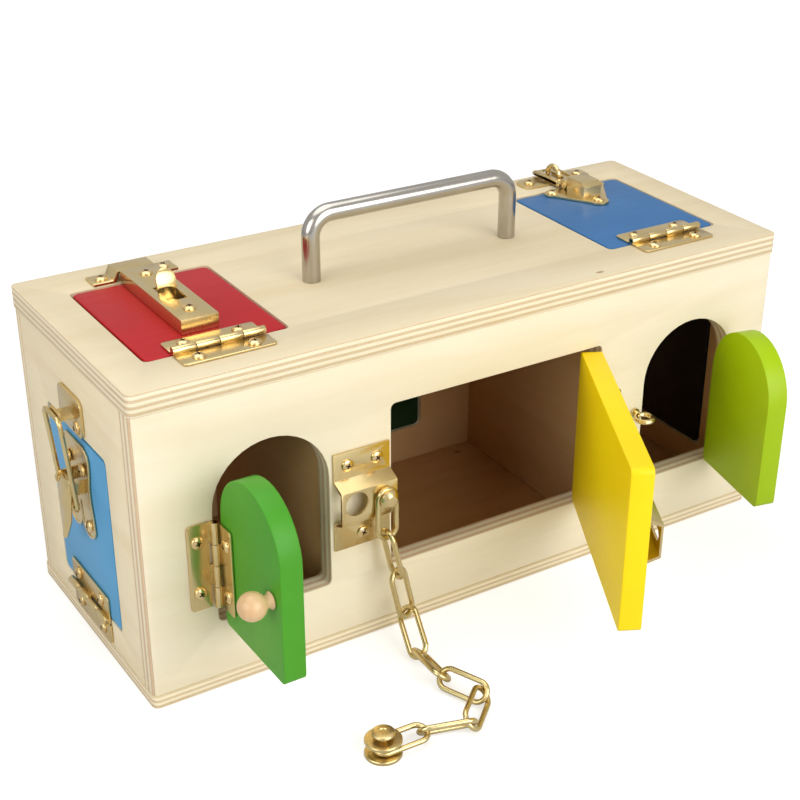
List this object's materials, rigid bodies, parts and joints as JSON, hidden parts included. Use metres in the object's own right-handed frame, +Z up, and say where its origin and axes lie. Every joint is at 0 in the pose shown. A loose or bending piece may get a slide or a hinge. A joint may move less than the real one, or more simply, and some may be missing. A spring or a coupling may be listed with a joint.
{
  "type": "latch box",
  "caption": "Wooden activity box with a carry handle, inner compartments and painted doors, each held by a different brass latch: slide bolt, hasp, toggle, door chain, hook and knob.",
  "frame": {"origin": "centre of the underside of the bottom panel, on the surface the box stands on", "axes": "+X along the length to the viewer's right facing the arched doors, +Y from front to back, +Z up"},
  "size_m": [0.422, 0.281, 0.2215],
  "materials": {
    "plywood": "satin birch plywood",
    "red_paint": "semi-gloss red paint on plywood",
    "blue_paint": "semi-gloss blue paint on plywood",
    "green_paint": "semi-gloss green paint on plywood",
    "dark_green_paint": "semi-gloss dark green paint on plywood",
    "yellow_paint": "semi-gloss yellow paint on plywood",
    "lime_paint": "semi-gloss lime paint on plywood",
    "black_paint": "semi-gloss black paint on plywood",
    "beech": "clear-lacquered beech",
    "brass": "polished, lightly tarnished",
    "steel": "brushed"
  },
  "bodies": {
    "case": {"top_panel": "plywood", "bottom_panel": "plywood", "front_panel": "plywood", "back_panel": "plywood", "left_end_panel": "plywood", "right_end_panel": "plywood", "left_divider": "plywood", "right_divider": "plywood", "carry_handle": "steel", "chain_anchor": "brass", "slide_strike": "brass", "hasp_staple": "brass", "toggle_keeper": "brass", "frame_eye": "brass", "red_top_door_hinge_frame_leaf": "brass", "blue_top_door_hinge_frame_leaf": "brass", "blue_side_door_hinge_frame_leaf": "brass", "black_side_door_hinge_frame_leaf": "brass", "dark_green_back_door_hinge_frame_leaf": "brass", "green_arch_door_hinge_frame_leaf": "brass", "yellow_door_hinge_frame_leaf": "brass", "lime_arch_door_hinge_frame_leaf": "brass"},
    "red_top_door_body": {"red_top_door": "red_paint", "red_top_door_hinge_door_leaf": "brass", "slide_channel": "brass"},
    "blue_top_door_body": {"blue_top_door": "blue_paint", "blue_top_door_hinge_door_leaf": "brass", "hasp_base": "brass"},
    "blue_side_door_body": {"blue_side_door": "blue_paint", "blue_side_door_hinge_door_leaf": "brass", "toggle_base": "brass"},
    "black_side_door_body": {"black_side_door": "black_paint", "black_side_door_hinge_door_leaf": "brass"},
    "dark_green_back_door_body": {"dark_green_back_door": "dark_green_paint", "dark_green_back_door_hinge_door_leaf": "brass"},
    "green_arch_door_body": {"green_arch_door": "green_paint", "green_arch_door_hinge_door_leaf": "brass", "ball_knob": "beech"},
    "yellow_door_body": {"yellow_door": "yellow_paint", "yellow_door_hinge_door_leaf": "brass", "chain_track": "brass"},
    "lime_arch_door_body": {"lime_arch_door": "lime_paint", "lime_arch_door_hinge_door_leaf": "brass"},
    "slide_bolt_body": {"slide_bolt": "brass"},
    "hasp_strap_body": {"hasp_strap": "brass"},
    "toggle_lever_body": {"toggle_lever": "brass"},
    "toggle_bail_body": {"toggle_bail": "brass"},
    "hook_body": {"hook": "brass"},
    "black_turn_button_body": {"black_turn_button": "brass"},
    "back_turn_button_body": {"back_turn_button": "brass"},
    "chain_button_body": {"chain_button": "brass"},
    "chain_link_1_body": {"chain_link_1": "brass"},
    "chain_link_2_body": {"chain_link_2": "brass"},
    "chain_link_3_body": {"chain_link_3": "brass"},
    "chain_link_4_body": {"chain_link_4": "brass"},
    "chain_link_5_body": {"chain_link_5": "brass"},
    "chain_link_6_body": {"chain_link_6": "brass"},
    "chain_link_7_body": {"chain_link_7": "brass"},
    "chain_link_8_body": {"chain_link_8": "brass"},
    "chain_link_9_body": {"chain_link_9": "brass"}
  },
  "joints": [
    {"name": "red_top_door_hinge", "type": "hinge", "parent": "case", "child": "red_top_door_body", "pos_m": [-0.1415, -0.04825, 0.1827], "axis": [1, 0, 0], "range_deg": [0, 110]},
    {"name": "blue_top_door_hinge", "type": "hinge", "parent": "case", "child": "blue_top_door_body", "pos_m": [0.1415, -0.04825, 0.1827], "axis": [1, 0, 0], "range_deg": [0, 110]},
    {"name": "blue_side_door_hinge", "type": "hinge", "parent": "case", "child": "blue_side_door_body", "pos_m": [-0.2046, 0, 0.0245], "axis": [0, -1, 0], "range_deg": [0, 90]},
    {"name": "black_side_door_hinge", "type": "hinge", "parent": "case", "child": "black_side_door_body", "pos_m": [0.2046, 0.0395, 0.076], "axis": [0, 0, 1], "range_deg": [0, 110]},
    {"name": "dark_green_back_door_hinge", "type": "hinge", "parent": "case", "child": "dark_green_back_door_body", "pos_m": [-0.0345, 0.0791, 0.08], "axis": [0, 0, 1], "range_deg": [0, 110]},
    {"name": "green_arch_door_hinge", "type": "hinge", "parent": "case", "child": "green_arch_door_body", "pos_m": [-0.164, -0.0791, 0.08925], "axis": [0, 0, -1], "range_deg": [-90, 45]},
    {"name": "yellow_door_hinge", "type": "hinge", "parent": "case", "child": "yellow_door_body", "pos_m": [0.078, -0.0791, 0.08925], "axis": [0, 0, 1], "range_deg": [-63, 47]},
    {"name": "lime_arch_door_hinge", "type": "hinge", "parent": "case", "child": "lime_arch_door_body", "pos_m": [0.1769, -0.0791, 0.08925], "axis": [0, 0, 1], "range_deg": [-77.5, 52.5]},
    {"name": "slide_bolt_travel", "type": "slide", "parent": "red_top_door_body", "child": "slide_bolt_body", "axis": [0, 1, 0], "range_m": [-0.0125, 0.005]},
    {"name": "hasp_strap_hinge", "type": "hinge", "parent": "blue_top_door_body", "child": "hasp_strap_body", "pos_m": [0.1445, 0.04425, 0.1846], "axis": [1, 0, 0], "range_deg": [0, 100]},
    {"name": "toggle_lever_pivot", "type": "hinge", "parent": "blue_side_door_body", "child": "toggle_lever_body", "pos_m": [-0.2085, 0, 0.099], "axis": [0, 1, 0], "range_deg": [0, 100]},
    {"name": "toggle_bail_pivot", "type": "hinge", "parent": "toggle_lever_body", "child": "toggle_bail_body", "pos_m": [-0.2085, 0, 0.088], "axis": [0, -1, 0], "range_deg": [0, 100]},
    {"name": "hook_swing", "type": "hinge", "parent": "lime_arch_door_body", "child": "hook_body", "pos_m": [0.17606, -0.11476, 0.0921], "axis": [-0.9763, 0.2164, 0], "range_deg": [-20, 150]},
    {"name": "black_turn_button_turn", "type": "hinge", "parent": "case", "child": "black_turn_button_body", "pos_m": [0.2019, -0.0462, 0.076], "axis": [1, 0, 0], "range_deg": [0, 90]},
    {"name": "back_turn_button_turn", "type": "hinge", "parent": "case", "child": "back_turn_button_body", "pos_m": [0.0562, 0.0764, 0.08], "axis": [0, 1, 0], "range_deg": [0, 90]},
    {"name": "chain_link_1_swing", "type": "hinge", "parent": "case", "child": "chain_link_1_body", "pos_m": [-0.0698, -0.0877, 0.0911], "axis": [0, 1, 0], "range_deg": [-24, 24]},
    {"name": "chain_link_2_swing", "type": "hinge", "parent": "chain_link_1_body", "child": "chain_link_2_body", "pos_m": [-0.0698, -0.0877, 0.0666], "axis": [1, 0, 0], "range_deg": [-24, 12]},
    {"name": "chain_link_3_swing", "type": "hinge", "parent": "chain_link_2_body", "child": "chain_link_3_body", "pos_m": [-0.06514, -0.09084, 0.04211], "axis": [0, -0.993, 0.118], "range_deg": [-24, 24]},
    {"name": "chain_link_4_swing", "type": "hinge", "parent": "chain_link_3_body", "child": "chain_link_4_body", "pos_m": [-0.06093, -0.09392, 0.01756], "axis": [-0.9263, -0.359, -0.1144], "range_deg": [-24, 24]},
    {"name": "chain_link_5_swing", "type": "hinge", "parent": "chain_link_4_body", "child": "chain_link_5_body", "pos_m": [-0.06641, -0.11581, 0.00549], "axis": [0.535, -0.5401, 0.6496], "range_deg": [-24, 24]},
    {"name": "chain_link_6_swing", "type": "hinge", "parent": "chain_link_5_body", "child": "chain_link_6_body", "pos_m": [-0.06696, -0.14106, 0.00705], "axis": [-0.7652, 0.0379, 0.6427], "range_deg": [-24, 24]},
    {"name": "chain_link_7_swing", "type": "hinge", "parent": "chain_link_6_body", "child": "chain_link_7_body", "pos_m": [-0.05677, -0.16411, 0.00701], "axis": [0.596, 0.2408, 0.766], "range_deg": [-24, 9]},
    {"name": "chain_link_8_swing", "type": "hinge", "parent": "chain_link_7_body", "child": "chain_link_8_body", "pos_m": [-0.07745, -0.17971, 0.00701], "axis": [-0.4301, 0.4777, 0.766], "range_deg": [-24, 24]},
    {"name": "chain_link_9_swing", "type": "hinge", "parent": "chain_link_8_body", "child": "chain_link_9_body", "pos_m": [-0.10083, -0.16906, 0.00561], "axis": [-0.2575, -0.5903, 0.765], "range_deg": [-24, 24]},
    {"name": "chain_button_turn", "type": "hinge", "parent": "chain_link_9_body", "child": "chain_button_body", "pos_m": [-0.12115, -0.16818, 0], "axis": [0, 0, 1], "range_deg": [-90, 90]}
  ],
  "couplings": [
    {"joint": "toggle_bail_pivot", "follows": "toggle_lever_pivot", "ratio": 1}
  ]
}
